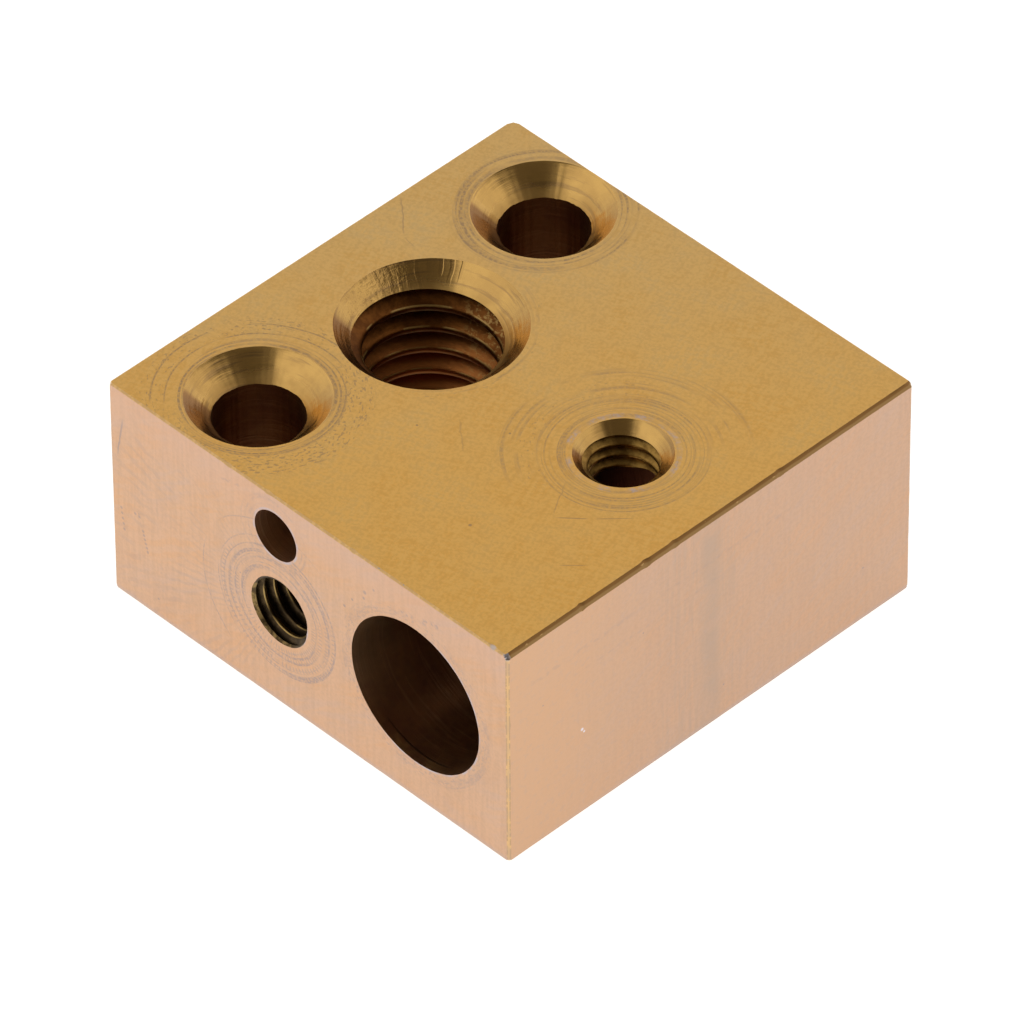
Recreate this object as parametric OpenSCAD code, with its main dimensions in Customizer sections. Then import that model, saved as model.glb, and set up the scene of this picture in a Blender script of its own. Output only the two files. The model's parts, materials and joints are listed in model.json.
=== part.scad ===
// Heater block for the hot end of a 3D printer: one machined block of copper.
// Millimetres, +Z up. The origin is the centre of the underside.
// The face with the sensor and heater holes looks along -Y, and the nozzle's side is up.
// Threaded holes are drawn at the diameter of their tap drill.

/* [Block] */
// Width of the block, along X
block_w = 20; // [18:0.1:24]
// Depth of the block, along Y
block_d = 20; // [18.5:0.1:24]
// Height of the block, along Z
block_h = 9.8; // [9.6:0.1:14]
// Size of the 45 degree break on every outer edge
edge_break = 0.1; // [0.05:0.01:0.3]
// Size of the 45 degree chamfer along the upper edge of the +X face
side_chamfer = 0.2; // [0.1:0.01:0.6]

/* [Screw holes] */
// Place of both screw holes along X
screw_x = -5.7; // [-6.5:0.1:-5]
// Place of the middle of the screw pair along Y
screw_mid_y = 0.25; // [-0.5:0.05:0.5]
// Distance between the two screw holes
screw_spacing = 14.1; // [13.8:0.1:14.4]
// Diameter of the screw holes, which clear an M3 screw
screw_hole_d = 3.4; // [3.2:0.1:3.6]
// Diameter of the screw holes' 90 degree countersinks on the upper face
screw_sink_d = 5.25; // [4:0.05:5.6]
// Diameter of the small breaks on the screw holes' lower ends
screw_exit_d = 3.7; // [3.6:0.1:4.4]

/* [Nozzle thread] */
// Place of the M6 x 1 through thread along X
nozzle_x = -4.15; // [-5:0.05:-3]
// Place of the M6 x 1 through thread along Y
nozzle_y = 0.2; // [-0.5:0.05:0.5]
// Tap drill diameter of the M6 x 1 thread
nozzle_tap_d = 5; // [4.9:0.05:5.2]
// Diameter of the 45 degree chamfers at both ends of the M6 x 1 thread
nozzle_mouth_d = 7; // [6:0.1:7.4]

/* [Heater bore] */
// Place of the heater cartridge's bore along X
heater_x = 5.39; // [5:0.01:6]
// Height of the heater cartridge's bore above the underside
heater_z = 4.93; // [4.4:0.01:5.2]
// Diameter of the heater cartridge's bore
heater_d = 6.3; // [6:0.05:6.4]
// Place of the grub screw's M3 x 0.5 thread along X
grub_x = 5.42; // [5:0.01:6]
// Place of the grub screw's M3 x 0.5 thread along Y
grub_y = 0.2; // [-1:0.05:1]
// Diameter of the 45 degree chamfer at the grub screw's thread
grub_mouth_d = 3.6; // [3:0.1:4.4]

/* [Sensor holes] */
// Place of the temperature sensor's hole along X
sensor_x = -1.54; // [-2:0.01:-1]
// Height of the temperature sensor's hole above the underside
sensor_z = 7.95; // [7.8:0.01:8.2]
// Diameter of the temperature sensor's hole
sensor_d = 2.1; // [1.6:0.05:2.2]
// Depth of the temperature sensor's hole to its drill point
sensor_depth = 6; // [4:0.5:6.5]
// Place of the sensor clamp screw's M3 x 0.5 thread along X
clamp_x = -1.48; // [-2:0.01:-1]
// Height of the sensor clamp screw's M3 x 0.5 thread above the underside
clamp_z = 4.43; // [4:0.01:5]
// Diameter of the 45 degree chamfer at the clamp screw's thread
clamp_mouth_d = 2.8; // [2.6:0.05:3.2]
// Depth of the clamp screw's thread to its drill point
clamp_depth = 6; // [4:0.5:6.5]

/* [Hidden] */
$fn = 96;
small_tap_d = 2.5; // tap drill diameter of both M3 x 0.5 threads
drill_point_angle = 118;
overrun = 1; // how far cutters pass a face
copper = [0.80, 0.58, 0.37];

// Height of a drill point on a drill of diameter d
function point_h(d) = d / 2 / tan(drill_point_angle / 2);

// Outline w by h about X and from Y 0 up, with its four corners cut at 45 degrees.
// right_top is the cut at the right upper corner, and cut is every other.
module broken_outline(w, h, cut, right_top) {
    polygon([
        [-w / 2 + cut, 0], [w / 2 - cut, 0],
        [w / 2, cut], [w / 2, h - right_top],
        [w / 2 - right_top, h], [-w / 2 + cut, h],
        [-w / 2, h - cut], [-w / 2, cut]
    ]);
}

// The solid block with every outer edge broken
module blank() {
    intersection() {
        rotate([90, 0, 0])
            linear_extrude(block_d, center = true)
                broken_outline(block_w, block_h, edge_break, side_chamfer);
        rotate([90, 0, 90])
            linear_extrude(block_w, center = true)
                broken_outline(block_d, block_h, edge_break, edge_break);
        linear_extrude(block_h)
            translate([0, -block_d / 2])
                broken_outline(block_w, block_d, edge_break, edge_break);
    }
}

// Round cutter of diameter d, from above Z 0 down through depth
module bore(d, depth) {
    translate([0, 0, -depth])
        cylinder(h = depth + overrun, d = d);
}

// Cutter for the 45 degree mouth of a hole of diameter d, mouth_d wide at Z 0
module mouth(d, mouth_d) {
    sink = (mouth_d - d) / 2;
    translate([0, 0, -sink])
        cylinder(h = sink + overrun, d1 = d, d2 = mouth_d + 2 * overrun);
}

// Blind round cutter of diameter d, depth deep at its drill point's rim
module drilled(d, depth) {
    bore(d, depth);
    translate([0, 0, -depth - point_h(d)])
        cylinder(h = point_h(d), d1 = 0, d2 = d);
}

// Hole through the block's height, with a mouth at each end
module upright_hole(d, top_d, bottom_d) {
    translate([0, 0, block_h])
        bore(d, block_h + overrun);
    translate([0, 0, block_h])
        mouth(d, top_d);
    rotate([180, 0, 0])
        mouth(d, bottom_d);
}

// Places its children on the -Y face at x and z, with their +Z pointing out of the face
module on_front(x, z) {
    translate([x, -block_d / 2, z])
        rotate([90, 0, 0])
            children();
}

module screw_holes() {
    for (side = [-1, 1])
        translate([screw_x, screw_mid_y + side * screw_spacing / 2, 0])
            upright_hole(screw_hole_d, screw_sink_d, screw_exit_d);
}

module nozzle_hole() {
    translate([nozzle_x, nozzle_y, 0])
        upright_hole(nozzle_tap_d, nozzle_mouth_d, nozzle_mouth_d);
}

module heater_holes() {
    on_front(heater_x, heater_z)
        bore(heater_d, block_d + overrun);
    translate([grub_x, grub_y, block_h]) {
        bore(small_tap_d, block_h - heater_z);
        mouth(small_tap_d, grub_mouth_d);
    }
}

module sensor_holes() {
    on_front(sensor_x, sensor_z)
        drilled(sensor_d, sensor_depth);
    on_front(clamp_x, clamp_z) {
        drilled(small_tap_d, clamp_depth);
        mouth(small_tap_d, clamp_mouth_d);
    }
}

module heater_block() {
    color(copper)
        difference() {
            blank();
            screw_holes();
            nozzle_hole();
            heater_holes();
            sensor_holes();
        }
}

heater_block();
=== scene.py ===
import json
import math
from itertools import product

import bmesh
import bpy
from mathutils import Matrix, Vector, noise


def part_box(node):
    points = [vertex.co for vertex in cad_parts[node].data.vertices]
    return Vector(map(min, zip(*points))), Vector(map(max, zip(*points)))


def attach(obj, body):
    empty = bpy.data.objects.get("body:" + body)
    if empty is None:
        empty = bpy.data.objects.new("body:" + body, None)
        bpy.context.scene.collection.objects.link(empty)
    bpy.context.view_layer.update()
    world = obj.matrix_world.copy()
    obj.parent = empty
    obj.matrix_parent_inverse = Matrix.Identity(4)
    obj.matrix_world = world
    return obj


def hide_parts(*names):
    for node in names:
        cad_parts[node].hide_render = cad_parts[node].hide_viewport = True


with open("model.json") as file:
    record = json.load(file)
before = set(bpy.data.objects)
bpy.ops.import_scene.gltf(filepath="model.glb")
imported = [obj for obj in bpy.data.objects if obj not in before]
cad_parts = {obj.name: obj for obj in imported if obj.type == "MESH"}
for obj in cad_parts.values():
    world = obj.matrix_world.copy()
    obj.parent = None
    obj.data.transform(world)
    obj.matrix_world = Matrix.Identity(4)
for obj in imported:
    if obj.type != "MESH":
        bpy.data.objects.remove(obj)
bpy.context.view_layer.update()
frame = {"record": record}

# Shapes are worked out in millimetres, with +Z up and the origin at the centre of the underside,
# and scaled to metres once, at the end.
M_PER_MM = 0.001
NODE = "heater_block"
OVERRUN = 1.0  # how far cutters pass a face
SHARP_ANGLE = math.radians(34)

low, high = (corner / M_PER_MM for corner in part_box(NODE))
SIZE = high - low
HALF = SIZE / 2
TOP = high.z
FRONT = low.y


# ---------------------------------------------------------------- sizes of the holes

MOUNTS = {mount["name"]: mount for mount in frame["record"]["mounts"]}


def mount_place(name):
    """A mount's point, in millimetres."""
    return Vector(MOUNTS[name]["pos_m"]) / M_PER_MM


def mount_size(name, key):
    return MOUNTS[name]["dims"][key]


SCREWS = mount_place("mounting_screws")
SCREW_SPACING = mount_size("mounting_screws", "spacing_y_mm")
SCREW_R = mount_size("mounting_screws", "hole_r_mm")
SCREW_SINK_R = 2.625  # rim of the countersinks
SCREW_EXIT_R = 1.85
RIM_WEAR = 0.04  # how far a countersink's rim is rounded
SCREW_PLACES = [Vector((SCREWS.x, SCREWS.y + side * SCREW_SPACING / 2, TOP)) for side in (-1, 1)]

NOZZLE = mount_place("nozzle_thread")
NOZZLE_MINOR_R = mount_size("nozzle_thread", "r_mm")
NOZZLE_MAJOR_R = 3.0
NOZZLE_PITCH = 1.0
NOZZLE_MOUTH_R = 3.5
NOZZLE_CREST_DEPTH = 0.65  # of the first crest on the far wall

HEATER = mount_place("heater_bore")
HEATER_R = mount_size("heater_bore", "r_mm")
HEATER_LEAD_IN = (0.46, 0.40)  # depths at which the bore starts to widen towards its mouth

GRUB = mount_place("heater_grub_thread")
GRUB_MOUTH_R = 1.8
GRUB_CREST_DEPTH = 0.84  # of a crest on the far wall

SENSOR = mount_place("sensor_bore")
SENSOR_R = mount_size("sensor_bore", "r_mm")
SENSOR_DEPTH = mount_size("sensor_bore", "length_mm")

CLAMP = mount_place("sensor_clamp_thread")
CLAMP_MOUTH_R = 1.4
CLAMP_MOUTH_SHIFT = Vector((0.03, 0, -0.10))  # the mouth was cut a little off the thread's axis
CLAMP_DEPTH = 6.0
CLAMP_THREAD_DEPTH = 5.2
CLAMP_CREST_AT = 0.12

M3_MINOR_R = mount_size("sensor_clamp_thread", "r_mm")
M3_MAJOR_R = 1.5
M3_PITCH = 0.5

MOUTH_OVERLAP = 0.05  # how far the mouths reach past a thread's crests
DRILL_POINT_SLOPE = math.tan(math.radians(31))  # a 118 degree drill point

# Hole centres in the upper face's coordinates (X, Y) and in the front face's (X, Z)
NEAR_SCREW_XY, FAR_SCREW_XY = [(place.x, place.y) for place in SCREW_PLACES]
NOZZLE_XY = (NOZZLE.x, NOZZLE.y)
GRUB_XY = (GRUB.x, GRUB.y)
HEATER_XZ = (HEATER.x, HEATER.z)
SENSOR_XZ = (SENSOR.x, SENSOR.z)
CLAMP_XZ = (CLAMP.x, CLAMP.z)


# ---------------------------------------------------------------- node trees

class Tree:
    """A node tree, built by short calls."""

    def __init__(self, tree):
        self.tree = tree
        self.parts = {}  # vectors already split, and holes already measured, so that no node is made twice

    def feed(self, socket, value):
        """Links a socket, or sets its value."""
        if isinstance(value, bpy.types.NodeSocket):
            self.tree.links.new(value, socket)
        else:
            socket.default_value = value

    def node(self, kind, *values, **settings):
        """A new node with its settings, and its first inputs fed."""
        node = self.tree.nodes.new(kind)
        for key, value in settings.items():
            setattr(node, key, value)
        for socket, value in zip(node.inputs, values):
            self.feed(socket, value)
        return node

    def math(self, operation, *values):
        return self.node("ShaderNodeMath", *values, operation=operation).outputs[0]

    def vector(self, operation, *values, scale=None):
        node = self.node("ShaderNodeVectorMath", *values, operation=operation)
        if scale is not None:
            self.feed(node.inputs["Scale"], scale)
        return node.outputs["Value" if operation in ("LENGTH", "DISTANCE", "DOT_PRODUCT") else "Vector"]

    def split(self, vector):
        key = vector.as_pointer()
        if key not in self.parts:
            self.parts[key] = self.node("ShaderNodeSeparateXYZ", vector).outputs
        return self.parts[key]

    def join(self, x, y, z=0.0):
        return self.node("ShaderNodeCombineXYZ", x, y, z).outputs[0]

    def fold(self, operation, values):
        """All values joined by one operation. A generator makes each value just before it is joined."""
        values = iter(values)
        total = next(values)
        for value in values:
            total = self.math(operation, total, value)
        return total

    def times(self, *values):
        return self.fold("MULTIPLY", values)

    def most(self, *values):
        return self.fold("MAXIMUM", values)

    def add(self, *values):
        return self.fold("ADD", values)

    def minus(self, a, b):
        return self.math("SUBTRACT", a, b)

    def dot(self, vector, way):
        return self.vector("DOT_PRODUCT", vector, tuple(way))

    def wander(self, value, size):
        """Noise about 0.5 turned into lengths from -size to size."""
        return self.math("MULTIPLY_ADD", value, 2 * size, -size)

    def ramp(self, value, low, high):
        """A smooth step from 0 at low to 1 at high. It falls where low is the higher one."""
        first, last = sorted((low, high))
        ends = (1.0, 0.0) if low > high else (0.0, 1.0)
        node = self.node("ShaderNodeMapRange", value, first, last, *ends, interpolation_type="SMOOTHSTEP")
        return node.outputs["Result"]

    def window(self, value, low, high, soft):
        """1 between low and high, and 0 outside."""
        rise = self.ramp(value, low - soft, low + soft)
        return self.times(rise, self.ramp(value, high + soft, high - soft))

    def line(self, value, middle, half, soft):
        """1 within half of the middle, and 0 further out."""
        return self.ramp(self.math("ABSOLUTE", self.minus(value, middle)), half + soft, half)


class Metal(Tree):
    """A metal's node tree. place is in millimetres in the object's frame, and plane has two of its axes."""

    def __init__(self, name, rough, axes="xy"):
        self.material = bpy.data.materials.new(name)
        self.material.use_nodes = True
        super().__init__(self.material.node_tree)
        self.shader = self.tree.nodes["Principled BSDF"]
        self.shader.inputs["Metallic"].default_value = 1.0
        self.shader.inputs["Roughness"].default_value = rough
        coord = self.tree.nodes.new("ShaderNodeTexCoord").outputs["Object"]
        self.place = self.vector("SCALE", coord, scale=1 / M_PER_MM)
        self.x, self.y, self.z = self.split(self.place)
        self.plane = self.join(*(getattr(self, axis) for axis in axes))

    def noise(self, vector, scale=1.0, detail=2.0, roughness=0.5):
        """Smooth noise about 0.5."""
        node = self.tree.nodes.new("ShaderNodeTexNoise")
        self.feed(node.inputs["Vector"], vector)
        node.inputs["Scale"].default_value = scale
        node.inputs["Detail"].default_value = detail
        node.inputs["Roughness"].default_value = roughness
        return node.outputs[0]

    def stretched(self, along, across, turn=0.0, seed=0.0, detail=2.0):
        """Noise with grain along a direction: features are about 1 / along by 1 / across millimetres."""
        u, v, _ = self.split(self.plane)
        c, s = math.cos(turn), math.sin(turn)
        p = self.add(self.times(u, c * along), self.times(v, s * along))
        q = self.add(self.times(u, -s * across), self.times(v, c * across))
        return self.noise(self.join(p, q, seed), detail=detail)

    def mix(self, share, a, b):
        """A colour between a and b."""
        node = self.node("ShaderNodeMix", share, data_type="RGBA")
        sockets = [socket for socket in node.inputs if socket.type == "RGBA"]
        for socket, value in zip(sockets, (a, b)):
            self.feed(socket, (*value, 1.0) if isinstance(value, tuple) else value)
        return [socket for socket in node.outputs if socket.type == "RGBA"][0]

    def finish(self, colour, height, rough=None):
        """Ends the net. height is the relief in millimetres."""
        self.feed(self.shader.inputs["Base Color"], colour)
        if rough is not None:
            self.feed(self.shader.inputs["Roughness"], rough)
        bump = self.tree.nodes.new("ShaderNodeBump")
        bump.inputs["Distance"].default_value = M_PER_MM
        self.feed(bump.inputs["Height"], height)
        self.feed(self.shader.inputs["Normal"], bump.outputs["Normal"])
        return self.material


# ---------------------------------------------------------------- marks on the metals
# A mark is a value that is 1 where the mark shows and 0 elsewhere. Lengths are in millimetres,
# and directions about a hole are in degrees from the face's first axis.

NOISE_SPREAD = 0.24  # nearly all noise lies within this of its middle


def round_hole(net, centre):
    """Coordinates about a hole: the offset, the distance and the direction."""
    if centre not in net.parts:
        offset = net.vector("SUBTRACT", net.plane, (*centre, 0.0))
        distance = net.vector("DISTANCE", net.plane, (*centre, 0.0))
        net.parts[centre] = offset, distance, net.vector("NORMALIZE", offset)
    return net.parts[centre]


def wrapped(net, centre):
    """Coordinates for noise that wraps round a hole."""
    key = ("wrapped", centre)
    if key not in net.parts:
        _, distance, way = round_hole(net, centre)
        turn_x, turn_y, _ = net.split(way)
        net.parts[key] = net.join(turn_x, turn_y, net.times(distance, 0.6))
    return net.parts[key]


def tool_rings(net, centre, inner, outer, per_mm, cover, seed, jitter=0.05, hard=0.12):
    """Broken circles that a tool left round a hole, between two radii. cover is the share that shows."""
    offset, distance, way = round_hole(net, centre)
    radius = net.add(distance, net.wander(net.noise(offset, 0.5, 1.0), jitter))
    turn_x, turn_y, _ = net.split(way)
    slow = 0.7  # how fast a circle's strength changes along it
    across = net.math("MULTIPLY_ADD", turn_y, slow, seed * 3.7)
    circles = net.noise(net.join(net.times(radius, per_mm), net.times(turn_x, slow), across), detail=1.0)
    level = 0.55
    line = net.ramp(circles, level - hard, level + hard)
    broken = net.noise(wrapped(net, centre), 2.2, 3.0)
    middle = 0.5 + NOISE_SPREAD * (1 - 2 * cover)
    shown = net.ramp(broken, middle - 0.10, middle + 0.10)
    return net.times(line, shown, net.window(radius, inner, outer, 0.08))


def tool_dents(net, centre, inner, outer, cover):
    """Short dark dents in circles round a hole, as chips leave them."""
    _, radius, _ = round_hole(net, centre)
    dents = net.noise(wrapped(net, centre), 20.0, 1.0)
    middle = 0.72 - NOISE_SPREAD * cover
    return net.times(net.ramp(dents, middle - 0.04, middle + 0.08), net.window(radius, inner, outer, 0.2))


def spokes(net, centre, count, seed):
    """Evenly spaced rays about a hole: the chatter of a cutter with a loose grip."""
    offset, _, _ = round_hole(net, centre)
    u, v, _ = net.split(offset)
    bent = net.times(net.noise(net.vector("ADD", offset, (0.0, 0.0, seed)), 1.4, 1.0), 5.0)
    angle = net.times(net.math("ARCTAN2", v, u), float(count))
    return net.ramp(net.math("SINE", net.add(angle, bent)), 0.1, 0.8)


def ring_at(net, centre, radius, half, soft=0.03):
    """One thin circle."""
    _, distance, _ = round_hole(net, centre)
    return net.line(distance, radius, half, soft)


def loose_rings(net, centre, radii, half, soft):
    """Circles that wander a little and fade in places."""
    _, distance, _ = round_hole(net, centre)
    drift = net.noise(wrapped(net, centre), 0.9, 2.0)
    widest = 0.15
    distance = net.math("MULTIPLY_ADD", drift, 2 * widest, net.minus(distance, widest))
    circles = net.fold("MAXIMUM", (net.line(distance, radius, half, soft) for radius in radii))
    return net.times(circles, net.ramp(net.noise(wrapped(net, centre), 1.7, 2.0), 0.36, 0.54))


def toward(net, centre, angle, half, soft=25):
    """1 in the sector within half of an angle, as seen from a centre, and 0 outside."""
    _, _, way = round_hole(net, centre)
    cosine = net.dot(way, (math.cos(math.radians(angle)), math.sin(math.radians(angle)), 0.0))
    return net.ramp(cosine, math.cos(math.radians(min(half + soft, 180))), math.cos(math.radians(half)))


def hole_mark(net, make, centre, settings, sector=None, strength=1.0):
    """A mark round a hole, all round or in a sector, which is the settings of toward()."""
    factors = [make(net, centre, *settings)]
    if sector is not None:
        factors.append(toward(net, centre, *sector))
    if strength != 1.0:
        factors.append(strength)
    return net.times(*factors)


def uneven(net):
    """The plane's coordinates, moved about a little."""
    if "uneven" not in net.parts:
        shift = net.wander(net.noise(net.plane, 1.2, 2.0), 0.12)
        net.parts["uneven"] = net.vector("ADD", net.plane, net.join(shift, shift))
    return net.parts["uneven"]


def measured(net, place, start, *ways):
    """How far a place lies from a start along each of some vectors, in lengths of 1 / the vector's."""
    return [net.minus(net.dot(place, way), start.dot(way)) for way in ways]


def scratch(net, x0, y0, x1, y1, half, strength):
    """A thin, uneven stroke from one point to another. half is half of its width."""
    run = Vector((x1 - x0, y1 - y0, 0.0))
    side = Vector((-run.y, run.x, 0.0)) / run.length
    along, across = measured(net, uneven(net), Vector((x0, y0, 0.0)), run / run.length_squared, side)
    line = net.ramp(net.math("ABSOLUTE", across), half * 2.2, half * 0.3)
    return net.times(line, net.window(along, 0.08, 0.88, 0.12), strength)


def dot_row(net, x0, y0, x1, y1, count, radius):
    """Evenly spaced pits from one point to another."""
    step = Vector((x1 - x0, y1 - y0, 0.0)) / (count - 1)
    ahead = step / step.length_squared
    side = Vector((-ahead.y, ahead.x, 0.0))
    along, across = measured(net, net.plane, Vector((x0, y0, 0.0)), ahead, side)
    nearest = net.math("ROUND", net.math("MINIMUM", net.most(along, 0.0), count - 1.0))
    away = net.vector("LENGTH", net.join(net.minus(along, nearest), across))
    return net.ramp(away, 1.3 * radius / step.length, 0.5 * radius / step.length)


def speck(net, x, y, radius):
    """A small round pit or spot."""
    return net.ramp(net.vector("DISTANCE", net.plane, (x, y, 0.0)), radius * 1.3, radius * 0.5)


def strongest(net, make, rows):
    """The strongest of the marks that make() gives. rows are its settings for each mark."""
    return net.fold("MAXIMUM", (make(net, *row) for row in rows))


def gritty(net):
    """Breaks marks up finely, without hiding any of them."""
    return net.math("MULTIPLY_ADD", net.ramp(net.noise(net.plane, 8.0, 2.0), 0.40, 0.56), 0.65, 0.35)


def dotted(net, scale):
    """Breaks a line into dots and dashes."""
    return net.ramp(net.noise(net.plane, scale, 1.0), 0.44, 0.58)


# ---------------------------------------------------------------- metals

GOLD = (0.72, 0.415, 0.115)
GOLD_WARM = (0.73, 0.402, 0.10)
GOLD_PALE = (0.71, 0.43, 0.135)
COPPER = (0.68, 0.425, 0.265)
COPPER_WARM = (0.69, 0.41, 0.235)
COPPER_LILAC = (0.65, 0.425, 0.29)
GOLD_STAIN = (0.31, 0.205, 0.12)
LILAC_STAIN = (0.33, 0.27, 0.26)
MARK_DEPTH = 0.003  # of the marks in the relief

SATIN_ROUGH = 0.36
MILLED_ROUGH = 0.42


def satin(net, seed):
    """A ground face's colour and relief: fine crossed grain over soft mottling."""
    along = net.stretched(1.5, 6.0, 0.45, seed)
    across = net.stretched(1.5, 6.0, 1.95, seed + 3)
    grain = net.times(net.add(along, across), 0.5)
    mottle = net.noise(net.plane, 0.3, 3.0, 0.6)
    colour = net.mix(net.ramp(mottle, 0.35, 0.62), GOLD_PALE, GOLD_WARM)
    colour = net.mix(net.ramp(grain, 0.40, 0.60), colour, GOLD)
    fine = net.noise(net.plane, 8.0, 2.0, 0.6)
    shade = net.ramp(net.add(net.times(fine, 0.5), net.times(grain, 0.5)), 0.58, 0.40)
    colour = net.mix(net.times(shade, 0.21), colour, tuple(0.5 * c for c in GOLD))
    height = net.add(net.times(grain, 0.0022), net.times(fine, 0.0007))
    return colour, height


def marked(net, colour, height, marks, stain_and_reflection, share, depth=MARK_DEPTH):
    """Adds dark marks, cut into the surface."""
    colour = net.mix(net.times(marks, share), colour, stain_and_reflection)
    return colour, net.minus(height, net.times(marks, depth))


# Marks round holes, as settings of hole_mark(): kind, centre, settings of the kind, sector and strength
TOP_RINGS = [
    (tool_rings, NEAR_SCREW_XY, (2.66, 3.12, 10.0, 0.95, 1.0)),
    (loose_rings, NEAR_SCREW_XY, ((3.34, 3.84), 0.0, 0.055), (180, 95)),
    (loose_rings, FAR_SCREW_XY, ((2.80, 3.18), 0.05, 0.09), None, 0.65),
    (tool_rings, FAR_SCREW_XY, (2.66, 3.4, 8.0, 0.8, 3.0)),
    (tool_rings, NOZZLE_XY, (3.55, 3.95, 7.0, 0.6, 4.0), (20, 60), 0.7),
    (tool_rings, GRUB_XY, (1.88, 3.1, 13.0, 0.95, 5.0, 0.02, 0.14), None, 0.72),
    (tool_rings, GRUB_XY, (3.0, 4.6, 8.0, 0.6, 6.0), (150, 80), 0.6),
]
TOP_DENTS = [
    (tool_dents, NEAR_SCREW_XY, (2.9, 4.1, 0.55), (-20, 85)),
    (tool_dents, NEAR_SCREW_XY, (3.3, 4.2, 0.35), (160, 70)),
    (tool_dents, GRUB_XY, (2.9, 3.8, 0.3), (185, 60), 0.7),
    (tool_dents, NOZZLE_XY, (3.6, 4.0, 0.3), (0, 60), 0.6),
]
# Scratches: start, end, half width and strength
TOP_SCRATCHES = [
    (-9.85, 4.2, -8.1, 2.75, 0.022, 0.7),
    (-8.1, 2.75, -7.5, 2.6, 0.018, 0.5),
    (6.1, -3.85, 7.1, -2.95, 0.018, 0.8),
    (7.1, -2.95, 8.1, -1.9, 0.016, 0.7),
    (5.0, -2.2, 6.0, -3.85, 0.018, 0.55),
    (7.9, -5.5, 8.7, -4.7, 0.018, 0.6),
    (0.1, -2.6, 1.5, -3.8, 0.018, 0.4),
]
TOP_SPECKS = [(4.3, -6.2, 0.07), (1.9, -1.9, 0.05), (-0.7, -3.9, 0.05), (6.6, -0.2, 0.04)]
FAR_TINT = (0.92, 1.01, 1.32)  # what the upper face's colour is multiplied by, at its far corner
GRUB_FUZZ = (0.46, 0.39, 0.40)


def top_metal():
    """The satin upper face, with the marks that drills and countersinks left round the holes."""
    net = Metal("gold_satin_top", SATIN_ROUGH)
    colour, height = satin(net, 0.0)
    rings = strongest(net, hole_mark, TOP_RINGS)
    rings = net.times(rings, gritty(net), 1.15)
    dents = net.times(strongest(net, hole_mark, TOP_DENTS), 0.8)
    strokes = strongest(net, scratch, TOP_SCRATCHES)
    marks = net.most(rings, dents, strokes, strongest(net, speck, TOP_SPECKS))
    away = net.ramp(net.minus(net.y, net.x), -10.0, 16.0)
    colour = net.vector("MULTIPLY", colour, net.mix(away, (1.0, 1.0, 1.0), FAR_TINT))
    colour, height = marked(net, colour, height, marks, GOLD_STAIN, 0.7)
    fuzz = net.times(net.noise(net.plane, 6.0, 3.0, 0.7), ring_at(net, GRUB_XY, 1.96, 0.08, 0.14))
    patchy = net.ramp(net.noise(net.plane, 0.9, 2.0), 0.44, 0.60)
    colour = net.mix(net.times(net.ramp(fuzz, 0.35, 0.7), patchy, 0.7), colour, GRUB_FUZZ)
    return net.finish(colour, height)


UNDER_RINGS = [(tool_rings, NOZZLE_XY, (3.55, 4.1, 8.0, 0.7, 7.0))]
UNDER_RINGS += [(tool_rings, (p.x, p.y), (1.9, 2.5, 8.0, 0.7, 8.0 + p.y)) for p in SCREW_PLACES]


def underside_metal():
    """The satin underside."""
    net = Metal("gold_satin_underside", SATIN_ROUGH)
    colour, height = satin(net, 5.0)
    marks = net.times(strongest(net, hole_mark, UNDER_RINGS), 0.8)
    return net.finish(*marked(net, colour, height, marks, GOLD_STAIN, 0.6))


# Painted reflection: a lilac-grey rim of bluish light along the bottom of each milled side
LOWER_RIM_REFLECTION = (0.50, 0.42, 0.40)


def milled(net, seed, streaks, hues=(COPPER, COPPER_WARM, COPPER_LILAC)):
    """A milled side's colour and relief: fine upright streaks and slanting ones, over soft patches."""
    base, warm, lilac = hues
    upright = net.stretched(6.0, 0.4, 0.0, seed)
    slanting = net.stretched(0.7, 4.0, 0.55, seed + 2)
    patch = net.stretched(0.28, 0.5, 0.5, seed + 4, detail=3.0)
    colour = net.mix(net.ramp(patch, 0.36, 0.62), lilac, warm)
    colour = net.mix(net.ramp(slanting, 0.38, 0.62), colour, base)
    fine = net.noise(net.plane, 7.0, 2.0, 0.6)
    dark = net.times(net.ramp(upright, 0.60, 0.40), streaks)
    dark = net.add(dark, net.times(net.ramp(fine, 0.58, 0.38), 0.10))
    colour = net.mix(dark, colour, tuple(0.55 * c for c in lilac))
    height = net.add(net.times(upright, 0.0030 * streaks), net.times(slanting, 0.0014))
    height = net.add(height, net.times(fine, 0.0010))
    # Painted reflection: the lowest 0.3 mm of each side is mixed towards a lilac-grey rim of bluish light
    lower = net.times(net.ramp(net.z, 0.32, 0.06), 0.45)
    return net.mix(lower, colour, LOWER_RIM_REFLECTION), height


FRONT_RINGS = [
    (tool_rings, CLAMP_XZ, (1.7, 2.95, 10.0, 0.9, 11.0), None, 0.95),
    (loose_rings, CLAMP_XZ, ((3.06, 3.83), 0.0, 0.05), (150, 75), 0.75),
    (tool_rings, SENSOR_XZ, (1.15, 1.75, 7.0, 0.7, 13.0), None, 0.5),
    (tool_rings, HEATER_XZ, (3.25, 3.8, 7.0, 0.5, 14.0), None, 0.55),
]
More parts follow.
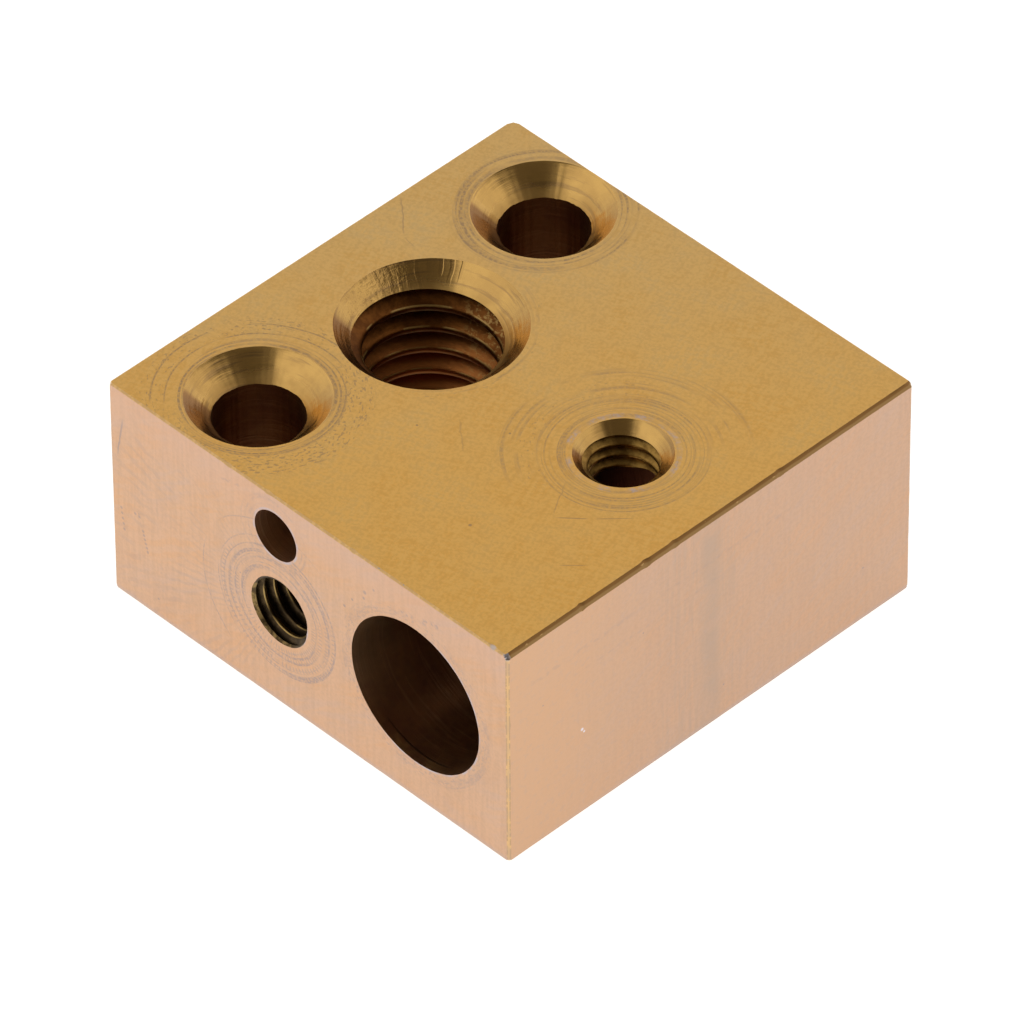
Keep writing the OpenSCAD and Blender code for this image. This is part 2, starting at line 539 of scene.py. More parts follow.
# Painted highlights: pale rings of reflected light on the rims of the sensor, clamp and heater holes
FRONT_RIM_HIGHLIGHTS = [
    (ring_at, SENSOR_XZ, (SENSOR_R + 0.05, 0.03)),
    (ring_at, CLAMP_XZ, (CLAMP_MOUTH_R + 0.06, 0.02), (-40, 70)),
    (ring_at, HEATER_XZ, (HEATER_R + 0.05, 0.02), (-20, 85)),
]
MILLING_ARCS = ((22.5, 5.0), 29.55, 30.3, 5.5, 0.6, 15.0, 0.02, 0.2)  # settings of tool_rings()
CHATTER_SPOKES = 84
CHATTER_RADII = (1.78, 2.12, 2.46, 2.80)
FRONT_SPECKS = [
    (-8.6, 4.4, 0.04), (-3.4, 5.0, 0.04), (-7.7, 0.9, 0.05), (2.93, 8.2, 0.09),
    (2.88, 7.9, 0.07), (3.38, 8.6, 0.06), (1.9, 6.9, 0.07), (2.3, 7.45, 0.06),
]
FRONT_SCRATCHES = [(-9.26, 8.55, -9.63, 6.45, 0.028, 1.0)]
FRONT_DOTS = [
    (4.6, 8.45, 5.4, 8.6, 0.06, 1.0),
    (5.6, 8.6, 6.9, 9.1, 0.09, 1.0),
    (-4.3, 8.9, -3.2, 9.2, 0.05, 0.6),
]
# Rows of dots: start, end, count and radius
FRONT_ROWS = [
    (-9.51, 4.13, -9.39, 3.17, 5, 0.07),
    (-8.79, 4.30, -8.58, 4.28, 2, 0.07),
    (-8.41, 3.69, -8.2, 2.82, 6, 0.07),
]
RIM_SHINE = (0.52, 0.47, 0.50)
FRONT_UPPER_TINT = (0.66, 0.43, 0.33)


def front_metal():
    """The milled front face, with the rings and chatter that the tools left round its holes."""
    net = Metal("copper_milled_front", MILLED_ROUGH, "xz")
    colour, height = milled(net, 1.0, 0.10)
    _, radius, _ = round_hole(net, CLAMP_XZ)
    comb = spokes(net, CLAMP_XZ, CHATTER_SPOKES, 0.0)
    rows = net.fold("MAXIMUM", (net.window(radius, at - 0.10, at + 0.10, 0.05) for at in CHATTER_RADII))
    patchy = net.ramp(net.noise(net.plane, 1.1, 2.0), 0.30, 0.50)
    chatter = net.times(comb, rows, toward(net, CLAMP_XZ, -100, 100, 35), patchy, 0.75)
    patchy = net.ramp(net.noise(net.plane, 0.5, 2.0), 0.38, 0.62)
    reach = net.window(radius, 3.0, 8.6, 0.8)
    fan = net.times(comb, reach, toward(net, CLAMP_XZ, 190, 45, 30), patchy, 0.26)
    rings = net.times(strongest(net, hole_mark, FRONT_RINGS), gritty(net), 1.15)
    arcs = net.times(tool_rings(net, *MILLING_ARCS), dotted(net, 3.0), 0.45)
    fuzz = net.times(tool_dents(net, HEATER_XZ, 3.15, 3.7, 0.6), 0.6)
    dots = net.times(strongest(net, scratch, FRONT_DOTS), dotted(net, 4.5))
    marks = net.most(rings, chatter, fan, arcs, fuzz, dots)
    marks = net.most(marks, net.times(strongest(net, dot_row, FRONT_ROWS), 0.85))
    marks = net.most(marks, strongest(net, scratch, FRONT_SCRATCHES))
    marks = net.most(marks, strongest(net, speck, FRONT_SPECKS))
    colour, height = marked(net, colour, height, marks, LILAC_STAIN, 0.62)
    # Painted highlights: the hole rims are mixed towards RIM_SHINE, a pale lilac-grey reflection of light
    rim_highlights = strongest(net, hole_mark, FRONT_RIM_HIGHLIGHTS)
    rim_highlights = net.times(rim_highlights, net.ramp(net.noise(net.plane, 2.5, 2.0), 0.3, 0.6), 0.75)
    colour = net.mix(rim_highlights, colour, RIM_SHINE)
    colour = net.mix(net.times(net.ramp(net.z, 7.0, 9.8), 0.3), colour, FRONT_UPPER_TINT)
    return net.finish(colour, height)


RIGHT_HUES = ((0.615, 0.392, 0.258), (0.635, 0.388, 0.243), (0.60, 0.394, 0.275))
RIGHT_NEAR_TINT = (0.68, 0.415, 0.24)
RIGHT_BAND = (0.45, 0.34, 0.26)
RIGHT_MOTTLE = (0.50, 0.37, 0.30)
# Painted highlights: near-white glints where two nicks on the right face catch the light
GLINT_SPECK = (0.80, 0.74, 0.78)
RIGHT_SPECKS = [(7.6, 2.5, 0.05), (0.6, 1.5, 0.05), (-3.4, 6.6, 0.04), (-8.3, 6.4, 0.04)]
RIGHT_GLINT_SPECKS = [(-6.4, 4.0, 0.07), (-6.3, 3.85, 0.05)]
RIGHT_DOTS = [
    (-9.3, 7.75, -3.0, 7.85, 0.07, 0.32),
    (-3.0, 7.85, 5.3, 7.75, 0.05, 0.3),
    (-7.0, 6.8, 2.0, 6.85, 0.04, 0.25),
]


def right_metal():
    """The milled face on the right, with a faint dark band and dotted lines."""
    net = Metal("copper_milled_right", MILLED_ROUGH, "yz")
    colour, height = milled(net, 6.0, 0.05, RIGHT_HUES)
    colour = net.mix(net.times(net.ramp(net.y, -1.0, -10.5), 0.8), colour, RIGHT_NEAR_TINT)
    streaks = net.ramp(net.stretched(7.0, 0.25, 0.0, 20.0), 0.38, 0.62)
    broad = net.window(net.y, -0.55, 0.4, 0.35)
    beside = net.times(net.window(net.y, -2.4, 1.4, 0.7), streaks, 0.5)
    band = net.times(net.most(broad, beside), net.ramp(net.noise(net.plane, 0.45, 3.0), 0.26, 0.56), 0.5)
    colour = net.mix(band, colour, RIGHT_BAND)
    mottle = net.ramp(net.noise(net.plane, 4.0, 3.0, 0.7), 0.52, 0.66)
    colour = net.mix(net.times(mottle, 0.22), colour, RIGHT_MOTTLE)
    dots = net.times(strongest(net, scratch, RIGHT_DOTS), dotted(net, 3.5))
    marks = net.most(dots, strongest(net, speck, RIGHT_SPECKS))
    colour, height = marked(net, colour, height, marks, LILAC_STAIN, 0.6)
    # Painted highlights: near-white glints on two nicks
    colour = net.mix(strongest(net, speck, RIGHT_GLINT_SPECKS), colour, GLINT_SPECK)
    return net.finish(colour, height)


BACK_RINGS = (3.25, 4.0, 7.0, 0.7, 16.0)
LEFT_ARCS = ((3.0, -24.0), 25.5, 33.0, 3.0, 0.35, 17.0, 0.02)


def back_metal():
    """The milled back face, with the rings round the far end of the heater's bore."""
    net = Metal("copper_milled_back", MILLED_ROUGH, "xz")
    colour, height = milled(net, 9.0, 0.12)
    marks = net.times(tool_rings(net, HEATER_XZ, *BACK_RINGS), 0.7)
    return net.finish(*marked(net, colour, height, marks, LILAC_STAIN, 0.6))


def left_metal():
    """The milled face on the left, with a wide cutter's faint arcs."""
    net = Metal("copper_milled_left", MILLED_ROUGH, "yz")
    colour, height = milled(net, 12.0, 0.13)
    marks = net.times(tool_rings(net, *LEFT_ARCS), 0.35)
    return net.finish(*marked(net, colour, height, marks, LILAC_STAIN, 0.6, depth=0.002))


UPRIGHT_GOLD = (0.72, 0.46, 0.22)
UPRIGHT_DARK = (0.40, 0.26, 0.17)
UPRIGHT_DULL = (0.50, 0.35, 0.25)
ALONG_TOP = (0.78, 0.50, 0.21)
ALONG_TOP_DARK = (0.60, 0.38, 0.17)
DENT_GREY = (0.40, 0.35, 0.34)
# Painted reflections where nicks catch pale and bluish light, on the front face's upper edge near its right
# end: place on X, radius and colour
CORNER_REFLECTIONS = [(HALF.x - 0.75, 0.13, (0.60, 0.50, 0.44)), (HALF.x, 0.20, (0.44, 0.45, 0.52))]


def edge_metal():
    """The edges: golden with dark dotted borders upright, dotted along the top and plain at the far left."""
    net = Metal("copper_edges", SATIN_ROUGH)
    spots = net.noise(net.place, 3.2, 3.0, 0.6)
    across = net.minus(net.math("ABSOLUTE", net.x), net.math("ABSOLUTE", net.y))
    border = net.ramp(net.math("ABSOLUTE", across), 0.02, 0.06)
    dots = net.ramp(net.noise(net.place, 4.5, 2.0, 0.6), 0.38, 0.52)
    upright = net.mix(net.times(border, dots, 0.6), UPRIGHT_GOLD, UPRIGHT_DARK)
    dull = net.ramp(net.noise(net.place, 0.9, 2.0), 0.46, 0.60)
    upright = net.mix(net.times(dull, 0.45), upright, UPRIGHT_DULL)
    along_top = net.mix(net.times(dots, 0.7), ALONG_TOP, ALONG_TOP_DARK)
    far_left = net.ramp(net.minus(net.y, net.x), 12.0, 15.0)
    upright = net.mix(far_left, upright, COPPER)
    base = net.mix(net.ramp(net.z, 9.5, 9.6), upright, along_top)
    colour = net.mix(net.ramp(spots, 0.66, 0.70), base, DENT_GREY)
    # Painted reflections: a pale and a bluish spot on nicks near the front right corner
    for x, radius, stain_and_reflection in CORNER_REFLECTIONS:
        away = net.vector("DISTANCE", net.place, (x, FRONT, TOP))
        colour = net.mix(net.ramp(away, radius * 1.5, radius * 0.6), colour, stain_and_reflection)
    height = net.times(net.noise(net.place, 8.0, 2.0), 0.005)
    return net.finish(colour, height)


# Painted shade: the chamfer's metal is painted about half as bright as the faces', and darker on its upper
# side
CHAMFER_LOWER_SHADE = (0.38, 0.228, 0.09)
CHAMFER_UPPER_SHADE = (0.29, 0.152, 0.052)
CHAMFER_BURR_HIGHLIGHT = (0.68, 0.44, 0.18)


def chamfer_metal():
    """The chamfer along the right face's upper edge, painted dark as shade: darker on its upper side as
    painted shade, with painted highlights on a few bright burred spots.
    """
    net = Metal("gold_side_chamfer", 0.30)
    below = net.minus(TOP, net.z)
    wander = net.times(net.noise(net.join(net.times(net.y, 0.8), 0.0)), 0.05)
    upper = net.ramp(net.minus(below, wander), 0.075, 0.04)
    colour = net.mix(upper, CHAMFER_LOWER_SHADE, CHAMFER_UPPER_SHADE)
    # Painted highlights: a few bright spots where burrs catch the light
    burrs_and_highlights = net.noise(net.join(net.times(net.y, 2.2), net.times(net.z, 9.0)))
    colour = net.mix(net.times(net.ramp(burrs_and_highlights, 0.66, 0.73), 0.7), colour, CHAMFER_BURR_HIGHLIGHT)
    height = net.times(net.noise(net.join(net.y, net.times(net.z, 12.0))), 0.008)
    return net.finish(colour, height)


SINK_PALE = (0.71, 0.44, 0.14)
SINK_WORN = (0.63, 0.385, 0.125)
SINK_GROOVE = (0.36, 0.22, 0.10)
SINK_LOWER_LEFT_SHADE = (0.38, 0.20, 0.08)
SINK_CHATTER = (0.34, 0.20, 0.07)
CLAMP_MOUTH_DARK = (0.085, 0.055, 0.025)
CLAMP_MOUTH_PALE = (0.27, 0.18, 0.07)
LOWER_LEFT_SHADE_SECTOR = (255, 34, 8)  # the sector of the countersinks' walls that is painted dark, as painted shade
MOUTH_SPOKES = 52


def countersink_metal():
    """The countersinks and mouths: fine circles round each hole's axis, worn dark in patches, with painted
    shade on the lower left of each wall and darker at the clamp's mouth.
    """
    net = Metal("gold_countersinks", 0.30)
    near = None
    lower_left_shade = 0.0
    for centre in [NEAR_SCREW_XY, FAR_SCREW_XY, GRUB_XY, NOZZLE_XY]:
        _, radius, _ = round_hole(net, centre)
        near = radius if near is None else net.math("MINIMUM", near, radius)
        sector = net.times(toward(net, centre, *LOWER_LEFT_SHADE_SECTOR), net.ramp(radius, 3.8, 3.7))
        lower_left_shade = net.most(lower_left_shade, sector)
    slow = net.join(net.times(near, 7.0), net.times(net.x, 0.35), net.times(net.y, 0.35))
    cut = net.noise(slow, detail=3.0, roughness=0.6)
    patch = net.noise(net.place, 1.0, 3.0, 0.6)
    colour = net.mix(net.ramp(patch, 0.40, 0.64), SINK_PALE, SINK_WORN)
    colour = net.mix(net.times(net.ramp(cut, 0.46, 0.36), 0.5), colour, SINK_GROOVE)
    # Painted shade: the lower left of each countersink's wall is mixed towards a dark brown
    colour = net.mix(net.times(lower_left_shade, 0.95), colour, SINK_LOWER_LEFT_SHADE)
    # Darker at the clamp's mouth, in dark and pale patches
    front = net.ramp(net.y, FRONT + 0.8, FRONT + 0.5)
    mouth_patches = net.ramp(net.noise(net.place, 3.0, 3.0, 0.6), 0.42, 0.60)
    colour = net.mix(front, colour, net.mix(mouth_patches, CLAMP_MOUTH_DARK, CLAMP_MOUTH_PALE))
    depth = net.minus(TOP, net.z)
    torn = net.times(net.ramp(net.add(depth, net.times(patch, 0.3)), 0.62, 1.0), 0.14)
    _, radius, _ = round_hole(net, NOZZLE_XY)
    patchy = net.ramp(net.noise(net.plane, 0.7, 2.0), 0.40, 0.58)
    at_nozzle = net.ramp(radius, 3.7, 3.6)
    left = toward(net, NOZZLE_XY, 150, 30)
    chatter = net.times(spokes(net, NOZZLE_XY, MOUTH_SPOKES, 3.0), at_nozzle, patchy, left, 0.5)
    lower = toward(net, NOZZLE_XY, 178, 12, 30)
    grit = net.times(net.noise(net.place, 5.0, 3.0, 0.7), at_nozzle, lower)
    colour = net.mix(net.times(net.most(chatter, net.ramp(grit, 0.52, 0.66)), 0.4), colour, SINK_CHATTER)
    height = net.add(net.times(cut, 0.014), net.times(chatter, -0.010), net.times(grit, 0.03))
    rough = net.add(net.math("MULTIPLY_ADD", patch, 0.14, 0.16), torn)
    return net.finish(colour, height, rough)


# Painted shade: the threads' metal is painted far darker than the faces', for the shade inside the holes
BROWN, BROWN_TORN = (0.20, 0.074, 0.017), (0.13, 0.046, 0.011)
OLIVE, OLIVE_TORN = (0.42, 0.25, 0.065), (0.22, 0.12, 0.03)
DARK, DARK_TORN = (0.12, 0.08, 0.04), (0.06, 0.04, 0.022)
# Painted light: the colour that the nozzle's deeper turns are lightened towards
BROWN_DEEP_LIT = (0.50, 0.185, 0.05)
# Painted highlight: thin lines of light along the crests
CREST_HIGHLIGHT = (0.58, 0.39, 0.14)


def thread_metal():
    """Torn threads, painted dark as shade: brown for the nozzle, olive for the grub and dark for the clamp,
    lighter on the nozzle's deeper turns as painted light, with painted highlights on the crests.
    """
    net = Metal("gold_tapped_thread", 0.40)
    torn = net.ramp(net.noise(net.place, 2.2, 4.0, 0.65), 0.40, 0.62)
    brown = net.mix(torn, BROWN, BROWN_TORN)
    # Painted light: the nozzle's deeper turns are painted lighter
    brown = net.mix(net.ramp(net.z, TOP - 2.2, TOP - 4.4), brown, BROWN_DEEP_LIT)
    colour = net.mix(net.ramp(net.x, 1.0, 2.0), brown, net.mix(torn, OLIVE, OLIVE_TORN))
    at_clamp = net.ramp(net.y, FRONT + 6.6, FRONT + 6.2)
    colour = net.mix(at_clamp, colour, net.mix(torn, DARK, DARK_TORN))
    _, radius, _ = round_hole(net, NOZZLE_XY)
    clamp_radius = net.vector("DISTANCE", net.join(net.x, net.z), (*CLAMP_XZ, 0.0))
    lit = net.ramp(net.noise(net.place, 1.1, 2.0), 0.42, 0.56)
    # Painted highlights: thin lines of light along the nozzle's and the clamp's crests
    crest = net.times(net.window(radius, 2.52, 2.56, 0.02), lit, 0.8)
    clamp_crest_highlight = net.times(net.window(clamp_radius, 1.255, 1.285, 0.015), at_clamp, lit)
    # Burrs on the right of the nozzle's thread, painted bright with the crests' highlight colour
    burrs_and_highlights = net.ramp(net.noise(net.place, 5.0, 3.0, 0.7), 0.50, 0.62)
    burrs_and_highlights = net.times(burrs_and_highlights, toward(net, NOZZLE_XY, 70, 22), 0.45)
    colour = net.mix(net.most(crest, clamp_crest_highlight, burrs_and_highlights), colour, CREST_HIGHLIGHT)
    height = net.times(net.noise(net.place, 5.0, 3.0, 0.6), 0.012)
    return net.finish(colour, height)


BORE_PALE, BORE_DARK = (0.50, 0.29, 0.14), (0.40, 0.21, 0.12)
BORE_RIDGE = (0.66, 0.44, 0.24)
BORE_DEEP_SHADE, BORE_DEEPEST_SHADE = (0.16, 0.075, 0.05), (0.06, 0.022, 0.014)
BORE_UPPER_LEFT = (0.80, 0.58, 0.30)
BORE_LIP, BORE_LIP_LINE = (0.66, 0.46, 0.20), (0.10, 0.05, 0.03)
SENSOR_WALL = (0.84, 0.55, 0.30)


def bore_metal():
    """Drilled bores: fine circles round each bore's axis, and a darker middle in the heater's, which is
    painted shade.
    """
    net = Metal("copper_drilled_bore", 0.36, "xz")
    along = net.join(net.times(net.y, 6.0), net.times(net.x, 0.25), net.times(net.z, 0.25))
    down = net.join(net.times(net.z, 6.0), net.times(net.x, 0.3), net.times(net.y, 0.3))
    heater = net.math("GREATER_THAN", net.x, (HEATER.x + NOZZLE.x) / 2)
    fine = net.noise(along, detail=3.0, roughness=0.7)
    upright = net.noise(down, detail=3.0, roughness=0.7)
    from_front = net.most(heater, net.ramp(net.y, NOZZLE.y - 3.2, NOZZLE.y - 3.4))
    from_front = net.times(from_front, net.math("GREATER_THAN", net.x, (SENSOR.x + SCREWS.x) / 2))
    cut = net.add(net.times(fine, from_front), net.times(upright, net.minus(1.0, from_front)))
    stains = net.noise(net.place, 0.8, 3.0, 0.6)
    colour = net.mix(net.ramp(stains, 0.35, 0.68), BORE_PALE, BORE_DARK)
    colour = net.mix(net.times(net.ramp(cut, 0.56, 0.66), 0.45), colour, BORE_RIDGE)
    inside = net.minus(net.y, FRONT)
    # Painted shade: the heater's bore is painted darker towards its middle, and darkest deep inside
    deep = net.times(net.window(inside, 4.0, SIZE.y - 2.0, 2.0), heater, 0.55)
    colour = net.mix(deep, colour, BORE_DEEP_SHADE)
    deepest = net.times(net.window(inside, 8.2, 15.6, 0.8), heater, 0.8)
    colour = net.mix(deepest, colour, BORE_DEEPEST_SHADE)
    upper_left = toward(net, HEATER_XZ, 165, 25, 50)
    upper_left = net.times(net.ramp(inside, 3.5, 1.0), heater, upper_left, 0.45)
    colour = net.mix(upper_left, colour, BORE_UPPER_LEFT)
    low_down = toward(net, HEATER_XZ, -96, 12, 22)
    lip = net.times(net.window(inside, -1.0, 0.36, 0.05), heater, low_down, net.ramp(stains, 0.62, 0.40))
    colour = net.mix(net.times(lip, 0.8), colour, BORE_LIP)
    lip_line = net.times(net.window(inside, 0.38, 0.44, 0.03), heater, low_down)
    colour = net.mix(lip_line, colour, BORE_LIP_LINE)
    sensor = net.ramp(net.vector("DISTANCE", net.plane, (*SENSOR_XZ, 0.0)), 1.3, 1.15)
    colour = net.mix(net.times(sensor, 0.12), colour, SENSOR_WALL)
    rough = net.math("MULTIPLY_ADD", sensor, 0.12, 0.36)
    return net.finish(colour, net.times(cut, 0.016), rough)


REGION_METALS = {
    "top": top_metal,
    "underside": underside_metal,
    "front": front_metal,
    "right": right_metal,
    "back": back_metal,
    "left": left_metal,
    "chamfer": chamfer_metal,
    "edge": edge_metal,
    "sink": countersink_metal,
    "thread": thread_metal,
    "bore": bore_metal,
}
REGIONS = list(REGION_METALS)
FLAT_REGIONS = ("top", "underside", "front", "right", "back", "left")
METALS = [REGION_METALS[region]() for region in REGIONS]


# ---------------------------------------------------------------- mesh building

def mesh_object(name, verts, faces, regions):
    """A new object with outward normals. regions names each face's metal, or is one name for all."""
    mesh = bpy.data.meshes.new(name)
    mesh.from_pydata(verts, [], faces)
    for metal in METALS:
        mesh.materials.append(metal)
    if isinstance(regions, str):
        regions = [regions] * len(faces)
    mesh.polygons.foreach_set("material_index", [REGIONS.index(region) for region in regions])
    work = bmesh.new()
    work.from_mesh(mesh)
    bmesh.ops.recalc_face_normals(work, faces=work.faces)
    work.to_mesh(mesh)
    work.free()
    obj = bpy.data.objects.new(name, mesh)
    bpy.context.scene.collection.objects.link(obj)
    return obj


def wavy(point, scale, seed):
    """A smooth random number from about -1 to 1, the same on every run."""
    return noise.noise(Vector(point) * scale + Vector((seed * 7.3, seed * 3.1, seed * 5.7)))


def direction(turn):
    return Vector((math.cos(turn), math.sin(turn), 0))


def lathe(name, profile, segments=192, seed=0):
    """A closed solid of revolution about Z.

    profile is (radius, height, waviness of the radius, region of the wall above it) from low to high.
    """
    verts = [(0, 0, profile[0][1])]
    for radius, height, wave, _ in profile:
        for step in range(segments):
            way = direction(2 * math.pi * step / segments)
            r = radius + wave * (wavy(way * radius, 2.2, seed) + 0.6 * wavy(way * radius, 9, seed + 1))
            verts.append((r * way.x, r * way.y, height))
    verts.append((0, 0, profile[-1][1]))
    last = len(verts) - 1
    top_ring = last - segments
    faces, regions = [], []
    for step in range(segments):
        after = (step + 1) % segments
        faces.append((0, 1 + after, 1 + step))
        regions.append(profile[0][3])
        for ring in range(len(profile) - 1):
            a = 1 + ring * segments
            b = a + segments
            faces.append((a + step, a + after, b + after, b + step))
            regions.append(profile[ring][3])
        faces.append((last, top_ring + step, top_ring + after))
        regions.append(profile[-1][3])
    return mesh_object(name, verts, faces, regions)


CREST_SHARE = 0.62  # of a thread's flats, of which the root has the rest


def thread_profile(minor, major, pitch):
    """One pitch of an internal 60 degree thread as (height, radius), up from a crest's lower edge."""
    height = major - minor
    flank = height * math.tan(math.radians(30))
    crest = (pitch - 2 * flank) * CREST_SHARE
    root = pitch - 2 * flank - crest
    ease = 0.10 * flank  # rounds the crest's edges
    lift = 0.16 * height
    return [
        (0.0, minor + lift * 0.55),
        (ease + crest * 0.12, minor + lift * 0.1),
        (crest * 0.5, minor),
        (crest * 0.88 - ease, minor + lift * 0.1),
        (crest, minor + lift * 0.55),
        (crest + flank * 0.3, minor + 0.3 * height),
        (crest + flank, major),
        (crest + flank + root, major),
        (crest + 2 * flank + root - flank * 0.3, minor + 0.3 * height),
    ]


def threaded_rod(name, radii, pitch, start, end, crest_at, segments=120, wave=0.006, seed=0):
    """A closed rod with a right-hand thread about Z from start to end.

    radii are the minor and the major one. crest_at is the height of a crest's lower edge at angle 0.
    """
    profile = thread_profile(*radii, pitch)
    steps = len(profile)
    columns = (math.ceil((end - start) / pitch) + 1) * segments
    first = crest_at + pitch * math.floor((start - crest_at) / pitch)
    verts = []
    for column in range(columns + 1):
        way = direction(2 * math.pi * column / segments)
        for height, radius in profile:
            z = first + pitch * column / segments + height
            r = radius + wave * wavy(way * radius + Vector((0, 0, z)), 3.5, seed)
            verts.append((r * way.x, r * way.y, z))

    def at(column, step):
        """Index of a profile point. The one past the last is the first of the turn above."""
        return column * steps + step if step < steps else (column + segments) * steps

    def rim(column):
        """An end's outline: a turn of crest edges from a column on, and that column's profile back down."""
        outline = [at(column + ahead, 0) for ahead in range(segments + 1)]
        return outline + [at(column, step) for step in range(steps - 1, 0, -1)]

    faces = []
    used = columns - segments
    for column, step in product(range(used), range(steps)):
        corners = ((column, step), (column + 1, step), (column + 1, step + 1), (column, step + 1))
        faces.append([at(*corner) for corner in corners])
    bottom, top = rim(0), rim(used)
    verts.append((0, 0, first - pitch))
    for here, after in zip(bottom, bottom[1:] + bottom[:1]):
        faces.append((len(verts) - 1, after, here))
    verts.append((0, 0, verts[top[0]][2] + 2 * pitch))
    for here, after in zip(top, top[1:] + top[:1]):
        faces.append((len(verts) - 1, here, after))
    kept = sorted({index for face in faces for index in face})
    fresh = {old: new for new, old in enumerate(kept)}
    faces = [[fresh[index] for index in face] for face in faces]
    return mesh_object(name, [verts[index] for index in kept], faces, "thread")


def carve(body, cutter, place, into_front=False):
    """Takes a cutter's solid away from the body's. into_front lays its +Z along -Y, out of the front face."""
    turn = Matrix.Rotation(math.radians(90), 4, "X") if into_front else Matrix.Identity(4)
    cutter.data.transform(Matrix.Translation(place) @ turn)
    cut = body.modifiers.new("carve", "BOOLEAN")
    cut.operation = "DIFFERENCE"
    cut.solver = "MANIFOLD"
    cut.object = cutter
    shaped = bpy.data.meshes.new_from_object(body.evaluated_get(bpy.context.evaluated_depsgraph_get()))
    body.modifiers.clear()
    body.data = shaped
    bpy.data.objects.remove(cutter)


# ---------------------------------------------------------------- the blank and its edges
# Signs are a side (-1 or 1) on X, Y and Z each. An edge has 0 on the axis along which it runs.

SIDES = (-1, 1)
FACE_REGIONS = (("left", "right"), ("front", "back"), ("underside", "top"))  # by axis and side
EDGE_STEP = 0.12  # distance between points along an edge
EDGE_FACETS = 4  # across a break
EDGE_BREAK = 0.07
SIDE_CHAMFER = 0.165
UPRIGHT_BREAK = 0.11
FAR_UPRIGHT_BREAK = 0.30  # the upright edge between the left and back faces
CORNER_INSET = 0.15
CORNER_MARGIN = 0.02  # between a wide break and the ends of the strips beside it
CORNER_BULGE = 0.12  # how far a corner's middle stands out, as a share of EDGE_BREAK
ARC_MIDDLE = math.sqrt(0.5)
EDGE_WANDER = 0.10  # how far a break's size wanders, as a share
CHAMFER_WANDER = 0.025


def signs_of(sides):
    """Signs from a dictionary of sides by axis."""
    return tuple(sides.get(axis, 0) for axis in range(3))


def without(signs, axis):
    return tuple(0 if k == axis else sign for k, sign in enumerate(signs))


def other_axes(axis):
    return [k for k in range(3) if k != axis]


def edge_size(along, signs):
    """Size of the break on one of the 12 edges."""
    if along == 1 and signs[0] > 0 and signs[2] > 0:
        return SIDE_CHAMFER
    if along == 2:
        return FAR_UPRIGHT_BREAK if signs[0] < 0 < signs[1] else UPRIGHT_BREAK
    return EDGE_BREAK


def edge_roundness(along, signs):
    """From 0, a flat chamfer, to 1, a full round."""
    return {SIDE_CHAMFER: 0.15, FAR_UPRIGHT_BREAK: 0.9}.get(edge_size(along, signs), 0.55)


def corner_inset(along, signs, end):
    """How far before a corner of the block the break of an edge stops."""
    corner = [end if axis == along else sign for axis, sign in enumerate(signs)]
    if corner[0] < 0 < corner[1]:
        return FAR_UPRIGHT_BREAK + CORNER_MARGIN
    return SIDE_CHAMFER + CORNER_MARGIN if corner[0] > 0 and corner[2] > 0 else CORNER_INSET


# Nicks: axis of the edge, its signs, place along it, half length and extra depth
NICKS = [
    (0, (0, -1, 1), 9.25, 0.14, 0.06),
    (0, (0, -1, 1), -1.9, 0.10, 0.05),
    (0, (0, -1, 1), 2.35, 0.12, 0.05),
    (0, (0, -1, 1), -3.9, 0.12, 0.04),
    (1, (1, 0, 1), -6.35, 0.10, 0.05),
    (1, (1, 0, 1), -3.2, 0.14, 0.05),
    (1, (1, 0, 1), -1.8, 0.12, 0.04),
    (1, (1, 0, 1), 3.4, 0.10, 0.04),
    (2, (1, -1, 0), 8.1, 0.12, 0.05),
    (2, (1, -1, 0), 6.1, 0.10, 0.04),
    (2, (1, -1, 0), 1.6, 0.12, 0.04),
]


def nick_depth(along, signs, place):
    """Extra depth that the nicks give an edge at a place along it."""
    total = 0.0
    for axis, sides, at, half, depth in NICKS:
        if axis == along and sides == signs:
            total += depth * math.exp(-(((place - at) / half) ** 2))
    return total


def edge_reach(face, along, signs, place):
    """How far the break of an edge reaches over a face, at a place along the edge."""
    size = edge_size(along, signs)
    seed = along * 9 + face * 3 + signs[0] + 2 * signs[1] + 4 * signs[2]
    share = CHAMFER_WANDER if size == SIDE_CHAMFER else EDGE_WANDER
    wander = share * (wavy((place, 0, 0), 0.55, seed) + wavy((place, 0, 0), 2.6, seed + 40))
    return size * (1 + wander) + nick_depth(along, signs, place)


